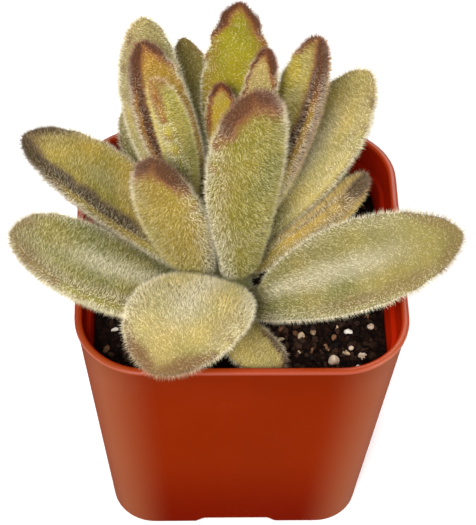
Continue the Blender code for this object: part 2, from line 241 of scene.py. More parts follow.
class Sock:
    """A node's output that takes arithmetic: an expression on values adds Math nodes."""

    def __init__(self, shop, socket):
        self.shop, self.socket = shop, socket

    def _math(self, operation, *others, flip=False):
        values = [self, *others]
        if flip:
            values.reverse()
        return self.shop.node("ShaderNodeMath", {"operation": operation}, *values)

    def __add__(self, other):
        return self._math("ADD", other)

    def __radd__(self, other):
        return self._math("ADD", other)

    def __sub__(self, other):
        return self._math("SUBTRACT", other)

    def __rsub__(self, other):
        return self._math("SUBTRACT", other, flip=True)

    def __mul__(self, other):
        return self._math("MULTIPLY", other)

    def __rmul__(self, other):
        return self._math("MULTIPLY", other)

    def __truediv__(self, other):
        return self._math("DIVIDE", other)

    def __pow__(self, other):
        return self._math("POWER", other)

    def __abs__(self):
        return self._math("ABSOLUTE")

    def least(self, other):
        return self._math("MINIMUM", other)

    def most(self, other):
        return self._math("MAXIMUM", other)

    def cosine(self):
        return self._math("COSINE")

    def ramp(self, low, high):
        """0 below low and 1 above high, and smooth between them."""
        smooth_step = {"interpolation_type": "SMOOTHSTEP"}
        return self.shop.node("ShaderNodeMapRange", smooth_step, Value=self, From_Min=low, From_Max=high)


def socket_of(sockets, key):
    """The socket of this name, with _ for a space, or of this number, such as i6 for the seventh."""
    return sockets[int(key[1:])] if key[0] == "i" and key[1:].isdigit() else sockets[key.replace("_", " ")]


class Finish:
    """A material being made: its node tree, its Principled shader and short ways to add nodes."""

    def __init__(self, name, roughness=0.8, **constants):
        self.material = bpy.data.materials.new(name)
        self.material.use_nodes = True
        self.tree = self.material.node_tree
        self.shader = self.tree.nodes["Principled BSDF"]
        self.set("Roughness", roughness)
        for key, value in constants.items():
            self.set(key.replace("_", " "), value)

    def feed(self, target, value):
        if isinstance(value, Sock):
            self.tree.links.new(value.socket, target)
        elif isinstance(value, (tuple, list)) and len(value) == 3 and target.type == "RGBA":
            target.default_value = (*value, 1.0)
        else:
            target.default_value = value

    def node(self, kind, settings=None, *values, out=0, **named):
        """A node of this kind: its settings first, then the values or links of its sockets."""
        made = self.tree.nodes.new(kind)
        for key, value in (settings or {}).items():
            setattr(made, key, value)
        for k, value in enumerate(values):
            self.feed(made.inputs[k], value)
        for key, value in named.items():
            self.feed(socket_of(made.inputs, key), value)
        return Sock(self, made.outputs[out])

    def set(self, name, value):
        self.feed(self.shader.inputs[name], value)

    def place(self):
        return self.node("ShaderNodeTexCoord", out="Object")

    def attribute(self, name, out="Vector"):
        return self.node("ShaderNodeAttribute", {"attribute_name": name}, out=out)

    def split(self, vector):
        parts = self.node("ShaderNodeSeparateXYZ", None, vector).socket.node.outputs
        return [Sock(self, part) for part in parts]

    def grain(self, scale, detail=3.0, roughness=0.55, at=None):
        """Noise from 0 to 1 about the object's own place, scale counted per metre."""
        place = at or self.place()
        return self.node("ShaderNodeTexNoise", None, Vector=place, Scale=scale, Detail=detail, Roughness=roughness)

    def mix(self, factor, first, second):
        """A colour between two; the node's colour sockets have the numbers 6 and 7, and 2 for the result."""
        return self.node("ShaderNodeMix", {"data_type": "RGBA"}, out=2, i0=factor, i6=first, i7=second)

    def bump(self, height, strength, distance):
        self.set("Normal", self.node("ShaderNodeBump", None, Strength=strength, Distance=distance, Height=height))


def tint(colour, red, green, blue):
    return colour[0] * red, colour[1] * green, colour[2] * blue


def darker(colour, share):
    return tint(colour, share, share, share)


def between(first, second, share):
    """A colour that is first where share is 1 and second where it is 0."""
    return tuple(a * share + b * (1 - share) for a, b in zip(first, second))


def brighter(colour):
    """The colour a felted face needs to look like this one, because its hairs shade each other."""
    gain = min(2.1, 0.85 / max(colour))
    return colour[0] * gain, colour[1] * gain, colour[2] * gain * 0.7


def pot_plastic(colour):
    """Thin moulded plastic: faint flow streaks and a little dust, darker at the foot as painted shade, lighter on the
    inside as painted light, lighter at the corners as a painted sheen and on the lip as a painted highlight.
    """
    f = Finish("pot_plastic_fine", 0.4, Coat_Roughness=0.32, Specular_IOR_Level=0.0)
    place = f.place()
    x, y, z = f.split(place)
    flow = f.grain(60, 3.0, 0.6, at=f.node("ShaderNodeMapping", None, place, Scale=(1.0, 1.0, 0.25)))
    cloud = f.grain(38, 2.0, 0.5)
    speck = f.grain(1400, 2.0, 0.7)
    tone = f.mix(flow.ramp(0.3, 0.75) * 0.35, colour, darker(colour, 0.72))
    tone = f.mix(cloud.ramp(0.35, 0.8) * 0.25, tone, tint(colour, 1.12, 1.3, 1.5))
    # Painted shade: the plastic darkens towards the foot
    low = 1.0 - (z / (26 * MM)).ramp(0.0, 1.0)
    tone = f.mix(low * 0.8, tone, tint(colour, 0.68, 0.25, 0.4))
    # Light that comes through the thin wall is painted on its inside, which is lighter: how far a point is inside the
    # outer face
    flare = (POT_TOP - POT_FOOT) / 2 - TOP_CORNER + FOOT_CORNER
    reach = z * flare / POT_HEIGHT + (POT_FOOT / 2 - FOOT_CORNER)
    corner = z * ((TOP_CORNER - FOOT_CORNER) / POT_HEIGHT) + FOOT_CORNER
    over_x, over_y = (abs(x) - reach).most(0.0), (abs(y) - reach).most(0.0)
    depth = corner - (over_x * over_x + over_y * over_y) ** 0.5
    lit_inside = (depth / MM).ramp(0.75, 1.15)
    tone = f.mix(lit_inside, tone, tint(colour, 2.0, 0.9, 1.5))
    dust = speck.ramp(0.62, 0.75) * f.grain(150, 2.0).ramp(0.5, 0.7) * 0.16
    tone = f.mix(dust, tone, DUST)
    lip = (z / MM).ramp(POT_HEIGHT / MM - 0.9, POT_HEIGHT / MM - 0.2)
    corner_sheen = (abs(x).least(abs(y)) / (reach + corner)).ramp(0.5, 0.94)
    # Painted sheen: the rounded corners are lightened, less so where the wall is lit from inside
    tone = f.mix(corner_sheen * (1.0 - lit_inside) * 0.8, tone, PAINTED_CORNER_SHEEN)
    # Painted highlight: the lip's colour is lightened
    f.set("Base Color", f.mix(lip * 0.5, tone, tint(colour, 2.2, 3.5, 6)))
    f.set("Roughness", 0.34 + cloud * 0.16 + dust * 0.8)
    # The corners and the lip are shinier than the flat sides
    f.set("Coat Weight", (corner_sheen * 0.12 + cloud * 0.02).most(lip * 0.8) * (1.0 - lit_inside * 0.6))
    f.bump(f.grain(420, 2.0) * 0.6 + f.grain(60, 1.0) * 2.0, 0.12, 0.2 * MM)
    return f.material


def damp_mix(colour):
    f = Finish("potting_mix_fine", 0.9, Specular_IOR_Level=0.05)
    lump = f.grain(900, 5.0, 0.65)
    f.set("Base Color", f.mix(lump.ramp(0.4, 0.7), darker(colour, 0.35), tint(colour, 2.4, 2.2, 2.0)))
    f.set("Roughness", 0.72 + lump * 0.25)
    f.bump(lump, 0.7, 0.5 * MM)
    return f.material


def crumb_finish(colour):
    """Peat, bark, a few tan chips and pale stones, by each crumb's own number."""
    f = Finish("crumbs", 0.8, Specular_IOR_Level=0.1)
    pick = f.attribute("pick", out="Fac")
    lump = f.grain(2600, 3.0, 0.7)
    tone = f.mix(pick.ramp(0.15, 0.75), darker(colour, 0.5), BARK)
    tone = f.mix(pick.ramp(0.90, 0.93), tone, BARK_CHIP)
    tone = f.mix(pick.ramp(0.968, 0.972), tone, TAN_CHIP)
    tone = f.mix(pick.ramp(0.986, 0.989), tone, PALE_CHIP)
    f.set("Base Color", f.mix(lump.ramp(0.35, 0.75) * 0.5, tone, darker(colour, 0.6)))
    f.set("Roughness", 0.6 + lump * 0.35)
    f.bump(lump, 0.5, 0.2 * MM)
    return f.material


def stem_bark(cream):
    f = Finish("stem_felt", 0.9)
    n = f.grain(700, 4.0, 0.6)
    fuzz = f.attribute("fuzz", out="Fac")
    tone = f.mix(n.ramp(0.35, 0.7), STEM_GREEN, STEM_STRAW)
    f.set("Base Color", f.mix(fuzz.ramp(0.0, 1.0) * 0.6, tone, cream))
    f.bump(n, 0.4, 0.2 * MM)
    return f.material


def leaf_felt(name, look, cream, stain):
    """Green skin under felt, with brown markings along the margins and at the tip, and pale hairs at the rim as a
    painted halo of light.

    The leaf's own map gives how far along it a point is, how far across and whether it is on the upper face.
    On a hair, fuzz runs from 0 at its root to 1 at its tip, and tone is the hair's own random number.
    """
    f = Finish(
        name + "_felt",
        0.85,
        Sheen_Weight=0.15,
        Sheen_Roughness=0.5,
        Sheen_Tint=(1.0, 0.9, 0.7),
        Specular_IOR_Level=0.15,
    )
    along, across, upper = f.split(f.attribute("leaf_place"))
    fuzz, tone = f.attribute("fuzz", out="Fac"), f.attribute("tone", out="Fac")
    cloud = f.grain(210, 3.0, 0.6)
    fine = f.grain(1500, 3.0, 0.7)
    edge = abs(across)
    wander = (cloud - 0.5) * 0.5 + (fine - 0.5) * 0.35

    # The skin: clouded, golden in places, greener at its foot and darker there as painted shade, with broad patches of
    # painted shade and painted light, and pale with a painted highlight along the middle of some leaves
    top, under = (brighter(hex_colour(look[face])) for face in ("upper", "under"))
    skin = f.mix(upper.ramp(0.35, 0.65), under, top)
    skin = f.mix(cloud.ramp(0.35, 0.7) * 0.45, skin, darker(top, 0.6))
    skin = f.mix(f.grain(90, 1.0).ramp(0.4, 0.65) * 0.4, skin, tint(top, 1.25, 1.05, 0.6))
    # Greener towards the foot, and darker there as painted shade
    skin = f.mix((1.0 - along.ramp(0.0, 0.4)) * 0.55, skin, tint(top, 0.55, 0.62, 0.4))
    # Broad patches of painted shade, and of painted light in a straw colour where the shade is weakest
    shade = f.grain(60, 2.0, 0.5)
    skin = f.mix(shade.ramp(0.50, 0.66) * 0.55, skin, tint(top, 0.42, 0.55, 0.4))
    skin = f.mix((1.0 - shade).ramp(0.52, 0.68) * 0.4, skin, LIT_STRAW)
    # A painted highlight down the middle of the upper face, which also pales the hairs there and spares them painted
    # shade
    middle = (1.0 - (edge + wander * 0.5).ramp(0.0, 0.5)) * upper.ramp(0.4, 0.8)
    middle = middle * along.ramp(0.05, 0.25) * (1.0 - along.ramp(0.6, 0.9))
    pale = middle * look["pale"]
    skin = f.mix(pale * 0.9, skin, MIDLINE_HIGHLIGHT)

    # The markings: bands by the margins, the tip, the crest of each tooth, a blush and freckles
    right = (across + wander * 0.9).ramp(0.40, 0.82) * look["right"]
    left = (wander * 0.9 - across).ramp(0.40, 0.82) * look["left"]
    bands = right.most(left) * along.ramp(0.15, 0.55)
    tip = (along + wander * 0.3 + edge * edge * 0.16).ramp(0.84, 1.04) * look["tip"]
    beat = (along - TEETH_FROM) * (TEETH_A_SIDE / (1 - TEETH_FROM)) + across.ramp(-0.1, 0.1) * TEETH_STAGGER
    crest = 0.5 - (beat * math.tau).cosine() * 0.5
    tooth = (edge + wander * 0.15).ramp(0.84, 0.98) * crest.ramp(0.5, 0.85) * along.ramp(TEETH_FROM, TEETH_FROM + 0.08)
    tooth = tooth * (0.4 + look["tip"] * 0.5)
    blush = (along + wander * 0.4).ramp(0.5, 0.95) * (look["tip"] * 0.08 + look["freckle"] * 0.4)
    spots = fine.ramp(0.58, 0.70) * cloud.ramp(0.42, 0.6) * (look["freckle"] * 0.7)
    mark = bands.most(tip).most(tooth).most(blush).most(spots).least(0.97)
    mark = mark * (1.0 - (edge + wander * 0.1).ramp(0.88, 0.99) * (1.0 - along.ramp(0.7, 0.9)) * 0.5)
    share = look["maroon"]
    brown, rust = between(stain, GREY_BROWN, share), between(RUST, TAN, share)
    marked = f.mix(mark.ramp(0.05, 0.8), skin, f.mix(mark.ramp(0.55, 1.0), rust, brown))

    # The hairs: skin-coloured at their roots, golden or pink at their tips, with a cream fringe at the rim as a
    # painted halo of light, painted highlights on some hairs and painted shade on others
    marked_spot = mark.ramp(0.3, 0.8)
    hair_tip = f.mix(marked_spot, GOLDEN_HAIR, between(PINK_HAIR, TAN_HAIR, share))
    hair = f.mix(0.04 + fuzz * (0.34 - mark * 0.18), marked, hair_tip)
    painted_halo = (edge + wander * 0.3).ramp(0.62, 0.96) * (1.0 - along.ramp(0.82, 0.94) * look["tip"])
    hair = f.mix((painted_halo * (0.9 - mark * 0.45)).most(pale * 0.5), hair, cream)
    # Painted highlights near the tips of some hairs, picked by their tone
    hair_highlight = f.mix(marked_spot, HIGHLIGHT_HAIR, HIGHLIGHT_MARKED_HAIR)
    hair = f.mix((1.0 - tone).ramp(0.55, 0.85) * fuzz * (0.85 - mark * 0.50), hair, hair_highlight)
    hair = f.mix(tone.ramp(0.35, 0.9) * (0.75 - pale * 0.35), hair, f.mix(0.68, hair, HAIR_SHADOW))
    f.set("Base Color", f.mix(fuzz.ramp(0.02, 0.3), f.mix(0.6, marked, SKIN_SHADOW), hair))
    f.set("Roughness", 0.75 + fine * 0.2)
    f.bump(fine, 0.5, 0.2 * MM)
    return f.material


def smooth(x):
    x = min(1.0, max(0.0, x))
    return x * x * (3 - 2 * x)


def mesh_from(bm, name):
    bmesh.ops.recalc_face_normals(bm, faces=bm.faces)
    mesh = bpy.data.meshes.new(name)
    bm.to_mesh(mesh)
    bm.free()
    return mesh


def object_of(mesh, name):
    obj = bpy.data.objects.new(name, mesh)
    bpy.context.scene.collection.objects.link(obj)
    return obj


def object_from(bm, name):
    return object_of(mesh_from(bm, name), name)


def piece_of(mesh, name, finish, nodes, sharp):
    """A finished object of this mesh, which rides with the plant and stands for the nodes named."""
    mesh.shade_smooth()
    if sharp:
        mesh.set_sharp_from_angle(angle=math.radians(sharp))
    mesh.materials.clear()
    mesh.materials.append(finish)
    obj = object_of(mesh, name)
    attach(obj, "root")
    if nodes:
        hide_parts(*nodes)


def bridge(bm, loops):
    """Walls between each loop of vertices and the next."""
    for lower, upper in zip(loops, loops[1:]):
        for i in range(len(lower)):
            j = (i + 1) % len(lower)
            bm.faces.new((lower[i], lower[j], upper[j], upper[i]))


def loft(rings):
    """A closed skin through these rings of points, with a flat face at each end."""
    bm = bmesh.new()
    loops = [[bm.verts.new(point) for point in ring] for ring in rings]
    bridge(bm, loops)
    bm.faces.new(list(reversed(loops[0])))
    bm.faces.new(loops[-1])
    return bm


def finished_mesh(obj):
    """The object's mesh with its modifiers applied; the object goes."""
    graph = bpy.context.evaluated_depsgraph_get()
    live = obj.evaluated_get(graph)
    mesh = bpy.data.meshes.new_from_object(live, preserve_all_data_layers=True, depsgraph=graph)
    bpy.data.objects.remove(obj, do_unlink=True)
    return mesh


def cut(obj, cutters):
    """The object's mesh with the cutters taken out of it; all of them go."""
    group = bpy.data.collections.new(obj.name + "_cutters")
    bpy.context.scene.collection.children.link(group)
    for piece in cutters:
        bpy.context.scene.collection.objects.unlink(piece)
        group.objects.link(piece)
    boolean = obj.modifiers.new("cut", "BOOLEAN")
    boolean.operation = "DIFFERENCE"
    boolean.operand_type = "COLLECTION"
    boolean.collection = group
    mesh = finished_mesh(obj)
    for piece in cutters:
        bpy.data.objects.remove(piece, do_unlink=True)
    bpy.data.collections.remove(group)
    return mesh


def rounded_square(width, corner, z, steps):
    reach = width / 2 - corner
    ring = []
    for quarter, (sx, sy) in enumerate(((1, -1), (1, 1), (-1, 1), (-1, -1))):
        for step in range(steps + 1):
            a = math.radians(90 * (quarter - 1) + 90 * step / steps)
            ring.append(Vector((sx * reach + corner * math.cos(a), sy * reach + corner * math.sin(a), z)))
    return ring


def wall_ring(z, inset, steps):
    share = z / POT_HEIGHT
    width = POT_FOOT + (POT_TOP - 2 * LIP_PROUD - POT_FOOT) * share
    corner = FOOT_CORNER + (TOP_CORNER - FOOT_CORNER) * share
    return rounded_square(width - 2 * inset, max(corner - inset, 1 * MM), z, steps)


def notches():
    """Cutters for the slot in the middle of each side of the foot: its right half, then the same mirrored."""
    half = [(NOTCH_WIDE / 2 + 1 * MM, -1 * MM), (NOTCH_WIDE / 2, 0.2 * MM)]
    half += [(NOTCH_NARROW / 2 + 0.3 * MM, NOTCH_HEIGHT - 0.15 * MM), (NOTCH_NARROW / 2, NOTCH_HEIGHT)]
    outline = [(-half[0][0], half[0][1]), *half, *((-x, z) for x, z in reversed(half[1:]))]
    cutters = []
    for side in range(4):
        turn = Matrix.Rotation(side * math.pi / 2, 3, "Z")
        ends = (POT_FOOT / 2 - NOTCH_DEPTH, POT_TOP / 2)
        bm = loft([[turn @ Vector((x, y, z)) for x, z in outline] for y in ends])
        cutters.append(object_from(bm, "notch"))
    return cutters


def drains():
    """Cutters for the four drain holes in the pot's floor."""
    turns = [math.tau * k / 32 for k in range(32)]
    circle = [(DRAIN_RADIUS * math.cos(a), DRAIN_RADIUS * math.sin(a)) for a in turns]
    cutters = []
    for x, y in ((sx * DRAIN_OFFSET, sy * DRAIN_OFFSET) for sx in (-1, 1) for sy in (-1, 1)):
        bm = loft([[Vector((x + dx, y + dy, z)) for dx, dy in circle] for z in (-1 * MM, 4 * MM)])
        cutters.append(object_from(bm, "drain"))
    return cutters


class PANDA_OT_pot(bpy.types.Operator):
    """Make the pot: a thin tub with a rolled lip, a collar inside it and drain slots in its foot"""

    bl_idname = "panda.pot"
    bl_label = "Pot"

    def execute(self, context):
        sizes = context.scene.panda_pot
        steps, turn = sizes.corner_steps, sizes.lip_round
        lip = POT_HEIGHT - LIP_HEIGHT
        collar = POT_HEIGHT - COLLAR_DEPTH
        # The wall's section as height and inset: round the foot, up the outside, over the lip, down the inside
        profile = [(0, FOOT_BEVEL)]
        for k in range(1, 5):
            a = math.pi / 2 * k / 4
            profile.append((FOOT_BEVEL * (1 - math.cos(a)), FOOT_BEVEL * (1 - math.sin(a))))
        profile += [(POT_HEIGHT * share, 0) for share in (0.2, 0.4, 0.6, 0.8)]
        profile += [(lip - 0.15 * MM, 0), (lip + 0.1 * MM, -LIP_PROUD * 0.6), (lip + 0.3 * MM, -LIP_PROUD)]
        for k in range(7):
            a = math.pi * k / 6
            half = (WALL + LIP_PROUD) / 2
            top = POT_HEIGHT - turn * 1.4 * (1 - math.sin(a))
            profile.append((top, -LIP_PROUD + half * (1 - math.cos(a))))
        profile += [(collar + 0.15 * MM, WALL), (collar, WALL + 0.1 * MM)]
        profile += [(collar - 0.12 * MM, WALL + LEDGE - 0.15 * MM), (collar - 0.35 * MM, WALL + LEDGE)]
        profile += [(POT_HEIGHT * 0.45, WALL + LEDGE * 0.7), (FLOOR + 1.5 * MM, WALL + LEDGE * 0.5)]
        profile += [(FLOOR, WALL + LEDGE * 0.5 + 1.2 * MM)]
        body = object_from(loft([wall_ring(z, inset, steps) for z, inset in profile]), "pot_body")
        mesh = cut(body, notches() + drains())
        piece_of(mesh, "pot_shell", pot_plastic(tuple(sizes.plastic)), ["pot"], 35)
        return {"FINISHED"}


def soil_height(x, y):
    """The mix's rolling height, as the solid has it."""
    place = Vector((x, y, 0)) / (7 * MM)
    fine = Vector((x, y, 4 * MM)) / (2.2 * MM)
    mound = 1.2 * MM * math.exp(-((x - STEM_FOOT.x) ** 2 + (y - STEM_FOOT.y) ** 2) / (9 * MM) ** 2)
    return SOIL_TOP - 1.0 * MM + mound + 0.9 * MM * (noise.noise(place) + 0.7 * noise.noise(fine))


def soil_crumble(x, y):
    """Finer lumps on the mix: their size across and their depth, in mm."""
    rough = 0.0
    for size, depth in ((2.4, 0.55), (1.1, 0.35), (0.5, 0.18)):
        rough += depth * noise.noise(Vector((x / (size * MM), y / (size * MM), size)))
    return rough * MM


def toward_stem(point, hole, share):
    """The spot at this share of the way from the rim of the hole round the stem out to a point."""
    a = math.atan2(point.y - STEM_FOOT.y, point.x - STEM_FOOT.x)
    rim = Vector((STEM_FOOT.x + hole * math.cos(a), STEM_FOOT.y + hole * math.sin(a), 0))
    return rim.lerp(Vector((point.x, point.y, 0)), share)


class PANDA_OT_mix(bpy.types.Operator):
    """Make the potting mix: the block in the pot, its crumbled surface and the hole round the stem"""

    bl_idname = "panda.mix"
    bl_label = "Potting mix"

    def execute(self, context):
        steps, rings_in = 24, 54
        inner = WALL + LEDGE + GAP
        rings = [wall_ring(FLOOR + GAP, inner + 1.5 * MM, steps), wall_ring(FLOOR + 2 * MM, inner, steps)]
        rings.append(wall_ring(SOIL_TOP - 2.5 * MM, inner, steps))
        edge = wall_ring(SOIL_TOP, inner + 0.2 * MM, steps)
        for k in range(rings_in + 1):
            share = (1 - k / rings_in) ** 0.95
            spots = [toward_stem(point, STEM_RADIUS + GAP, share) for point in edge]
            rings.append([Vector((p.x, p.y, soil_height(p.x, p.y) + soil_crumble(p.x, p.y))) for p in spots])
        rings.append([Vector((p.x, p.y, STEM_BOTTOM - GAP)) for p in rings[-1]])
        bm = loft(rings)
        bmesh.ops.triangulate(bm, faces=[face for face in bm.faces if len(face.verts) > 4])
        finish = damp_mix(tuple(context.scene.panda_mix.peat))
        piece_of(mesh_from(bm, "mix_block"), "mix_block", finish, ["potting_mix"], 60)
        return {"FINISHED"}


class Tree:
    """A geometry node tree being made, with named inputs."""

    def __init__(self, name, inputs):
        self.tree = bpy.data.node_groups.new(name, "GeometryNodeTree")
        self.ids = {}
        self.tree.interface.new_socket("Geometry", in_out="INPUT", socket_type="NodeSocketGeometry")
        for label, kind, default in inputs:
            socket = self.tree.interface.new_socket(label, in_out="INPUT", socket_type=kind)
            if default is not None:
                socket.default_value = default
            self.ids[label] = socket.identifier
        self.tree.interface.new_socket("Geometry", in_out="OUTPUT", socket_type="NodeSocketGeometry")
        self.input = self.tree.nodes.new("NodeGroupInput")
        self.output = self.tree.nodes.new("NodeGroupOutput")

    def add(self, kind, settings=None, **values):
        made = self.tree.nodes.new(kind)
        for key, value in (settings or {}).items():
            setattr(made, key, value)
        for key, value in values.items():
            target = socket_of(made.inputs, key)
            if isinstance(value, bpy.types.NodeSocket):
                self.tree.links.new(value, target)
            else:
                target.default_value = value
        return made

    def store(self, geometry, name, value, domain):
        settings = {"data_type": "FLOAT", "domain": domain}
        made = self.add("GeometryNodeStoreNamedAttribute", settings, Geometry=geometry, Name=name, Value=value)
        return made.outputs[0]

    def apply(self, obj, values):
        """Runs the tree on the object with these inputs and gives the plain mesh; the object goes."""
        modifier = obj.modifiers.new("tree", "NODES")
        modifier.node_group = self.tree
        for label, value in values.items():
            modifier[self.ids[label]] = value
        return finished_mesh(obj)


def felt_tree():
    """Thin spikes all over a mesh, each standing off the surface and swept towards the leaf's tip."""
    t = Tree(
        "Felt",
        [
            ("Density", "NodeSocketFloat", 1e7),
            ("Hair Length", "NodeSocketFloat", 0.001),
            ("Hair Radius", "NodeSocketFloat", 0.00003),
            ("Sweep", "NodeSocketFloat", 0.5),
            ("Spread", "NodeSocketFloat", 0.5),
            ("Seed", "NodeSocketInt", 1),
            ("Material", "NodeSocketMaterial", None),
        ],
    )
    g = t.input.outputs
    skin = {"Mesh": g["Geometry"], "Density": g["Density"], "Seed": g["Seed"]}
    points = t.add("GeometryNodeDistributePointsOnFaces", None, **skin)
    sweep = t.add("GeometryNodeInputNamedAttribute", {"data_type": "FLOAT_VECTOR"}, Name="sweep")
    swept = t.add("ShaderNodeVectorMath", {"operation": "SCALE"}, i0=sweep.outputs[0], Scale=g["Sweep"])
    cube = {"i0": (-1, -1, -1), "i1": (1, 1, 1), "Seed": g["Seed"]}
    draw = t.add("FunctionNodeRandomValue", {"data_type": "FLOAT_VECTOR"}, **cube)
    strewn = t.add("ShaderNodeVectorMath", {"operation": "SCALE"}, i0=draw.outputs[0], Scale=g["Spread"])
    lean = t.add("ShaderNodeVectorMath", {"operation": "ADD"}, i0=swept.outputs[0], i1=strewn.outputs[0])
    aim = t.add("ShaderNodeVectorMath", {"operation": "ADD"}, i0=points.outputs["Normal"], i1=lean.outputs[0])
    turn = t.add("FunctionNodeAlignRotationToVector", {"axis": "Z"}, Vector=aim.outputs[0])
    cone = {"Vertices": 3, "Radius_Top": 0.0, "Radius_Bottom": g["Hair Radius"], "Depth": g["Hair Length"]}
    spike = t.add("GeometryNodeMeshCone", {"fill_type": "NONE"}, **cone)
    place = t.add("GeometryNodeInputPosition")
    parts = t.add("ShaderNodeSeparateXYZ", None, Vector=place.outputs[0])
    height = t.add("ShaderNodeMath", {"operation": "DIVIDE"}, i0=parts.outputs["Z"], i1=g["Hair Length"])
    hair = t.store(spike.outputs["Mesh"], "fuzz", height.outputs[0], "POINT")
    longer = t.add("FunctionNodeRandomValue", {"data_type": "FLOAT"}, i2=0.45, i3=1.25, Seed=7)
    trim = t.add("GeometryNodeInputNamedAttribute", {"data_type": "FLOAT"}, Name="hair_trim")
    tall = t.add("ShaderNodeMath", {"operation": "MULTIPLY"}, i0=longer.outputs[1], i1=trim.outputs[0])
    size = t.add("ShaderNodeCombineXYZ", None, X=1.0, Y=1.0, Z=tall.outputs[0])
    stand = {"Instance": hair, "Rotation": turn.outputs[0], "Scale": size.outputs[0]}
    hairs = t.add("GeometryNodeInstanceOnPoints", None, Points=points.outputs["Points"], **stand)
    shade = t.add("FunctionNodeRandomValue", {"data_type": "FLOAT"}, Seed=13)
    toned = t.store(hairs.outputs[0], "tone", shade.outputs[1], "INSTANCE")
    real = t.add("GeometryNodeRealizeInstances", None, Geometry=toned)
    both = t.add("GeometryNodeJoinGeometry", None, Geometry=real.outputs[0])
    t.tree.links.new(g["Geometry"], both.inputs[0])
    dressed = t.add("GeometryNodeSetMaterial", None, Geometry=both.outputs[0], Material=g["Material"])
    t.tree.links.new(dressed.outputs[0], t.output.inputs[0])
    return t


def crumb_tree():
    """Knobbly crumbs scattered over a mesh and half sunk in it, each turned and squashed in its own way."""
    t = Tree(
        "Crumbs",
        [
            ("Density", "NodeSocketFloat", 1e5),
            ("Crumb Size", "NodeSocketFloat", 0.001),
            ("Seed", "NodeSocketInt", 1),
            ("Material", "NodeSocketMaterial", None),
        ],
    )
    g = t.input.outputs
    ground = {"Mesh": g["Geometry"], "Density": g["Density"], "Seed": g["Seed"]}
    points = t.add("GeometryNodeDistributePointsOnFaces", None, **ground)
    ball = t.add("GeometryNodeMeshIcoSphere", None, Radius=g["Crumb Size"], Subdivisions=2)
    turn = t.add("FunctionNodeRandomValue", {"data_type": "FLOAT_VECTOR"}, i1=(6.3, 6.3, 6.3), Seed=3)
    squash = {"i0": (0.35, 0.3, 0.25), "i1": (1.7, 1.2, 0.8), "Seed": 5}
    size = t.add("FunctionNodeRandomValue", {"data_type": "FLOAT_VECTOR"}, **squash)
    lie = {"Instance": ball.outputs[0], "Rotation": turn.outputs[0], "Scale": size.outputs[0]}
    crumbs = t.add("GeometryNodeInstanceOnPoints", None, Points=points.outputs["Points"], **lie)
    pick = t.add("FunctionNodeRandomValue", {"data_type": "FLOAT"}, Seed=9)
    named = t.store(crumbs.outputs[0], "pick", pick.outputs[1], "INSTANCE")
    real = t.add("GeometryNodeRealizeInstances", None, Geometry=named)
    place = t.add("GeometryNodeInputPosition")
    knobs = t.add("ShaderNodeTexNoise", None, Vector=place.outputs[0], Scale=1500.0, Detail=1.0)
    half = (0.5, 0.5, 0.5)
    middle = t.add("ShaderNodeVectorMath", {"operation": "SUBTRACT"}, i0=knobs.outputs["Color"], i1=half)
    reach = t.add("ShaderNodeVectorMath", {"operation": "SCALE"}, i0=middle.outputs[0], Scale=0.0011)
    knobbly = t.add("GeometryNodeSetPosition", None, Geometry=real.outputs[0], Offset=reach.outputs[0])
    dressed = t.add("GeometryNodeSetMaterial", None, Geometry=knobbly.outputs[0], Material=g["Material"])
    t.tree.links.new(dressed.outputs[0], t.output.inputs[0])
    return t


class PANDA_OT_crumbs(bpy.types.Operator):
    """Scatter crumbs of peat and bark, and a few stones, over the potting mix"""

    bl_idname = "panda.crumbs"
    bl_label = "Crumbs and stones"

    def execute(self, context):
        sizes = context.scene.panda_mix
        edge = wall_ring(SOIL_TOP, WALL + LEDGE + GAP + 1.6 * MM, 8)
        bm = bmesh.new()
        loops = []
        for k in range(17):
            spots = [toward_stem(point, STEM_RADIUS + 1.8 * MM, 1 - k / 16) for point in edge]
            loops.append([bm.verts.new((p.x, p.y, soil_height(p.x, p.y) + 0.1 * MM)) for p in spots])
        bridge(bm, loops)
        area = sum(face.calc_area() for face in bm.faces)
        ground = object_from(bm, "crumb_ground")
        finish = crumb_finish(tuple(sizes.peat))
        values = {"Density": sizes.crumbs / area, "Crumb Size": sizes.crumb_size}
        values |= {"Seed": MIX_SEED, "Material": finish}
        piece_of(crumb_tree().apply(ground, values), "mix_crumbs", finish, (), 50)

        # The stones that lie in the front right corner: place and size in mm, and how flat each is
        bm = bmesh.new()
        stones = ((15.8, -19.6, 0.95, 0.8), (20.8, -18.6, 0.8, 0.5), (22.6, -12.4, 0.6, 0.6), (18.9, -17.0, 0.5, 0.7))
        for x, y, size, squash in stones:
            start = len(bm.verts)
            bmesh.ops.create_icosphere(bm, subdivisions=3, radius=size * MM)
            bm.verts.ensure_lookup_table()
            centre = Vector((x * MM, y * MM, soil_height(x * MM, y * MM) + size * 0.45 * MM))
            for vert in list(bm.verts)[start:]:
                vert.co.z *= squash
                vert.co += vert.normal * 0.25 * size * MM * noise.noise(vert.co / (1.1 * MM) + centre * 999)
                vert.co += centre
        piece_of(mesh_from(bm, "mix_stones"), "mix_stones", crumb_stone(), (), 60)
        return {"FINISHED"}


def crumb_stone():
    f = Finish("pale_stone", 0.7)
    n = f.grain(1100, 4.0, 0.6)
    f.set("Base Color", f.mix(n.ramp(0.35, 0.7), STONE, STONE_DIRT))
    f.bump(n, 0.4, 0.2 * MM)
    return f.material


def stem_axis(z):
    return Vector((STEM_FOOT.x, STEM_FOOT.y, z)) + STEM_LEAN * max(0.0, z - STEM_LEANS_FROM)


def stem_radius(z):
    share = min(1.0, max(0.0, (z - SOIL_TOP) / (STEM_TOP - SOIL_TOP)))
    return STEM_RADIUS + (STEM_TIP_RADIUS - STEM_RADIUS) * share


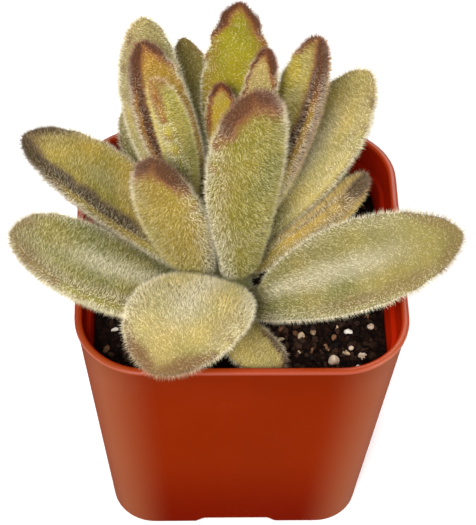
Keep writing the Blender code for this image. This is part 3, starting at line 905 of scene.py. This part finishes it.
class PANDA_OT_stem(bpy.types.Operator):
    """Make the stem, ringed with leaf scars and felted above the mix"""

    bl_idname = "panda.stem"
    bl_label = "Stem"

    def execute(self, context):
        felt = context.scene.panda_felt
        rings = []
        count, sides = 88, 28
        for k in range(count + 1):
            z = STEM_BOTTOM + (STEM_TOP - STEM_BOTTOM) * k / count
            scar = 1 - 0.045 * (0.5 + 0.5 * math.sin(0.6 * k))
            end = max(0.0, (k - count + 8) / 8)
            radius = stem_radius(z) * scar * math.sqrt(max(0.2, 1 - end**2))
            centre = stem_axis(z)
            ring = []
            for side in range(sides):
                a = math.tau * side / sides
                ring.append(centre + Vector((radius * math.cos(a), radius * math.sin(a), 0)))
            rings.append(ring)
        bm = loft(rings)
        trim = bm.verts.layers.float.new("hair_trim")
        sweep = bm.verts.layers.float_vector.new("sweep")
        for vert in bm.verts:
            vert[trim] = 0.0 if vert.co.z < SOIL_TOP + 1 * MM else 0.85
            vert[sweep] = (0, 0, 1)
        obj = object_from(bm, "stem_core")
        finish = stem_bark(tuple(felt.cream))
        values = {"Density": 14e6, "Hair Length": felt.hair_length, "Hair Radius": felt.hair_radius}
        values |= {"Sweep": 0.3, "Spread": 0.5, "Seed": STEM_SEED, "Material": finish}
        piece_of(felt_tree().apply(obj, values), "stem_felted", finish, ["stem"], 0)
        return {"FINISHED"}


def direction(azimuth, lift):
    a, e = math.radians(azimuth), math.radians(lift)
    return Vector((math.cos(a) * math.cos(e), math.sin(a) * math.cos(e), math.sin(e)))


def leaf_frames(leaf, stations):
    """The leaf's midline as (centre, along, side, up) at each station, which runs from 0 to 1."""
    length, seat = leaf["length"] * MM, leaf["seat"] * MM
    centre = stem_axis(seat) + direction(leaf["azimuth"], 0) * (stem_radius(seat) + SEAT_GAP)
    steps, frames, done = 320, [], 0
    for step in range(steps + 1):
        share = step / steps
        settled = smooth(share * length / ELBOW)
        azimuth = leaf["azimuth"] + leaf["sway"] * share
        lift = SEAT_LIFT + (leaf["lift"] - SEAT_LIFT) * settled + leaf["curl"] * (share - 0.5) * settled
        along = direction(azimuth, lift)
        up = Matrix.Rotation(math.radians(leaf["roll"] * settled), 3, along) @ direction(azimuth, lift + 90)
        while done < len(stations) and stations[done] <= share + 1e-6:
            frames.append((centre.copy(), along, along.cross(up), up))
            done += 1
        centre = centre + along * (length / steps)
    return frames


def leaf_half_width(leaf, share, side):
    base = BASE_SHARE + (1 - BASE_SHARE) * math.sin(math.pi / 2 * min(1.0, share / WIDEST_AT)) ** 1.2
    past = max(0.0, (share - WIDEST_AT) / (1 - WIDEST_AT))
    tip = max(0.0, 1 - past**2.3) ** 0.62
    width = leaf["width"] / 2 * base * tip
    if TEETH_FROM < share < 0.995:
        beat = (share - TEETH_FROM) / (1 - TEETH_FROM) * TEETH_A_SIDE + (TEETH_STAGGER if side > 0 else 0.0)
        notch = 0.5 + 0.5 * math.cos(math.tau * beat)
        width -= leaf["teeth"] * smooth((share - TEETH_FROM) * 8) * notch * tip
    return max(width, 0.25) * MM


def leaf_thickness(leaf, share):
    base = 0.62 + 0.38 * smooth(share / 0.30)
    tip = max(0.0, 1 - max(0.0, (share - 0.45) / 0.55) ** 2.6) ** 0.5
    return max(leaf["thick"] * base * tip, 0.5) * MM


def leaf_mesh(name, leaf):
    """The leaf's skin with its own map: along, across and upper, and the way its hairs lie.

    Past the middle, where the outline has its teeth and turns in, the rings come closer towards the tip.
    """
    sides, plain_rings, toothed_rings = 28, 18, 28
    stations = [TEETH_FROM * k / plain_rings for k in range(plain_rings)]
    for k in range(toothed_rings):
        stations.append(TEETH_FROM + (1 - TEETH_FROM) * math.sin(math.pi / 2 * k / (toothed_rings - 1)))
    bm = bmesh.new()
    place = bm.verts.layers.float_vector.new("leaf_place")
    sweep = bm.verts.layers.float_vector.new("sweep")
    trim = bm.verts.layers.float.new("hair_trim")
    loops = []
    for share, (centre, along, side_way, up) in zip(stations, leaf_frames(leaf, stations)):
        thick = leaf_thickness(leaf, share)
        loop = []
        for k in range(sides):
            angle = math.tau * k / sides
            across, above = math.cos(angle), math.sin(angle)
            half = leaf_half_width(leaf, share, across)
            side = half * math.copysign(abs(across) ** 0.85, across)
            rise = thick * above * (UPPER_SHARE if above > 0 else 1 - UPPER_SHARE)
            rise += leaf["groove"] * half * (abs(across) ** 1.4 - 0.4) * smooth(share / 0.25)
            spot = centre + side_way * side + up * rise
            spot += up * 0.18 * MM * noise.noise(spot / (5 * MM)) * smooth(share / 0.2)
            vert = bm.verts.new(spot)
            vert[place] = (share, math.copysign(abs(across) ** 0.85, across), 0.5 + 0.5 * above)
            vert[sweep] = along
            vert[trim] = 0.35 + 0.65 * smooth(share / 0.15)
            loop.append(vert)
        loops.append(loop)
    bridge(bm, loops)
    for loop, flip in ((loops[0], True), (loops[-1], False)):
        middle = bm.verts.new(sum((v.co for v in loop), Vector()) / sides)
        middle[place] = (loop[0][place].x, 0, 0.5)
        middle[sweep] = loop[0][sweep]
        middle[trim] = loop[0][trim]
        for i in range(sides):
            j = (i + 1) % sides
            bm.faces.new((loop[j], loop[i], middle) if flip else (loop[i], loop[j], middle))
    return object_from(bm, name + "_skin")


class PANDA_OT_leaves(bpy.types.Operator):
    """Make the leaves: each with its own turn and colours, and felt all over"""

    bl_idname = "panda.leaves"
    bl_label = "Leaves"

    def execute(self, context):
        felt = context.scene.panda_felt
        tree = felt_tree()
        for seed, (node, row) in enumerate(LEAVES.items(), start=FIRST_LEAF_SEED):
            leaf = dict(zip(LEAF_COLUMNS, row))
            look = dict(zip(LOOK_COLUMNS, LOOKS[node]))
            finish = leaf_felt(node, look, tuple(felt.cream), tuple(felt.stain))
            obj = leaf_mesh(node, leaf)
            small = min(1.0, 0.55 + leaf["width"] / 30)
            values = {"Density": felt.per_mm2 * 1e6 * 1.0}
            values |= {"Hair Length": felt.hair_length * small, "Hair Radius": felt.hair_radius}
            values |= {"Sweep": 0.35, "Spread": 0.55, "Seed": seed, "Material": finish}
            mesh = tree.apply(obj, values)
            piece_of(mesh, node.replace("leaf_", "felted_"), finish, [node], 0)
        return {"FINISHED"}


def softbox(name, place, aim, size, power, colour=(1, 1, 1)):
    """An area light at a place, turned to a point."""
    light = bpy.data.lights.new(name, "AREA")
    light.shape = "RECTANGLE"
    light.size, light.size_y = size
    light.energy = power
    light.color = colour
    obj = bpy.data.objects.new(name, light)
    obj.location = place
    obj.rotation_euler = (Vector(aim) - Vector(place)).to_track_quat("-Z", "Y").to_euler()
    bpy.context.scene.collection.objects.link(obj)


class PANDA_OT_stage(bpy.types.Operator):
    """Set the pale floor, the soft lights and the camera"""

    bl_idname = "panda.stage"
    bl_label = "Stage"

    def execute(self, context):
        sizes = context.scene.panda_stage
        bm = bmesh.new()
        bmesh.ops.create_grid(bm, x_segments=1, y_segments=1, size=4.0)
        bmesh.ops.translate(bm, verts=bm.verts, vec=(0, 0, -0.3 * MM))
        floor = object_from(bm, "stage_floor")
        paper = Finish("floor_paper", 0.95, Emission_Color=(1.0, 1.0, 1.0), Emission_Strength=0.1)
        paper.set("Base Color", tuple(sizes.floor))
        floor.data.materials.append(paper.material)

        world = bpy.data.worlds.new("studio")
        world.use_nodes = True
        sky = world.node_tree.nodes["Background"].inputs
        sky["Color"].default_value = (1.0, 0.99, 0.97, 1.0)
        sky["Strength"].default_value = 0.4
        context.scene.world = world
        softbox("key", (-0.22, -0.62, 0.72), aim=(0, 0, 0.06), size=(0.3, 0.3), power=11.0, colour=(1.0, 0.98, 0.95))
        softbox("fill", (0.55, -0.25, 0.60), aim=(0, 0, 0.05), size=(0.4, 0.4), power=3.5)
        softbox("back", (0.05, 0.60, 0.60), aim=(0, 0, 0.06), size=(0.7, 0.3), power=3.5)

        # The camera looks down at the pot, turned about its own line of sight by the roll
        a, e, r = (math.radians(v) for v in (sizes.azimuth, sizes.elevation, sizes.roll))
        back = Vector((math.sin(a) * math.cos(e), -math.cos(a) * math.cos(e), math.sin(e)))
        level = Vector((math.cos(a), math.sin(a), 0))
        up = back.cross(level)
        right = level * math.cos(r) + up * math.sin(r)
        top = up * math.cos(r) - level * math.sin(r)
        aim = Vector((-0.2, 0.0, 47.7)) * MM
        camera = bpy.data.cameras.new("camera")
        camera.lens = sizes.lens
        camera.clip_start = 0.01
        obj = bpy.data.objects.new("camera", camera)
        turned = Matrix((right, top, back)).transposed().to_4x4()
        obj.matrix_world = Matrix.Translation(aim + back * sizes.distance) @ turned
        context.scene.collection.objects.link(obj)
        context.scene.camera = obj
        context.scene.view_settings.view_transform = "Standard"
        return {"FINISHED"}


class PANDA_PT_panel(bpy.types.Panel):
    bl_label = "Panda Plant"
    bl_space_type = "VIEW_3D"
    bl_region_type = "UI"
    bl_category = "Panda Plant"

    def draw(self, context):
        column = self.layout.column()
        for group in ("panda_pot", "panda_mix", "panda_felt", "panda_stage"):
            sizes = getattr(context.scene, group)
            for key in sizes.bl_rna.properties.keys():
                if key not in ("rna_type", "name"):
                    column.prop(sizes, key)
        for operator in OPERATORS:
            column.operator(operator.bl_idname)


GROUPS = {"panda_pot": PotSizes, "panda_mix": MixSizes, "panda_felt": FeltSizes, "panda_stage": StageSizes}
OPERATORS = (PANDA_OT_pot, PANDA_OT_mix, PANDA_OT_crumbs, PANDA_OT_stem, PANDA_OT_leaves, PANDA_OT_stage)


def register():
    for name, group in GROUPS.items():
        bpy.utils.register_class(group)
        setattr(bpy.types.Scene, name, PointerProperty(type=group))
    for cls in (*OPERATORS, PANDA_PT_panel):
        bpy.utils.register_class(cls)


def unregister():
    for cls in (PANDA_PT_panel, *reversed(OPERATORS)):
        bpy.utils.unregister_class(cls)
    for name, group in GROUPS.items():
        delattr(bpy.types.Scene, name)
        bpy.utils.unregister_class(group)


def main():
    register()
    bpy.ops.panda.pot()
    bpy.ops.panda.mix()
    bpy.ops.panda.crumbs()
    bpy.ops.panda.stem()
    bpy.ops.panda.leaves()
    bpy.ops.panda.stage()


if __name__ == "__main__":
    main()
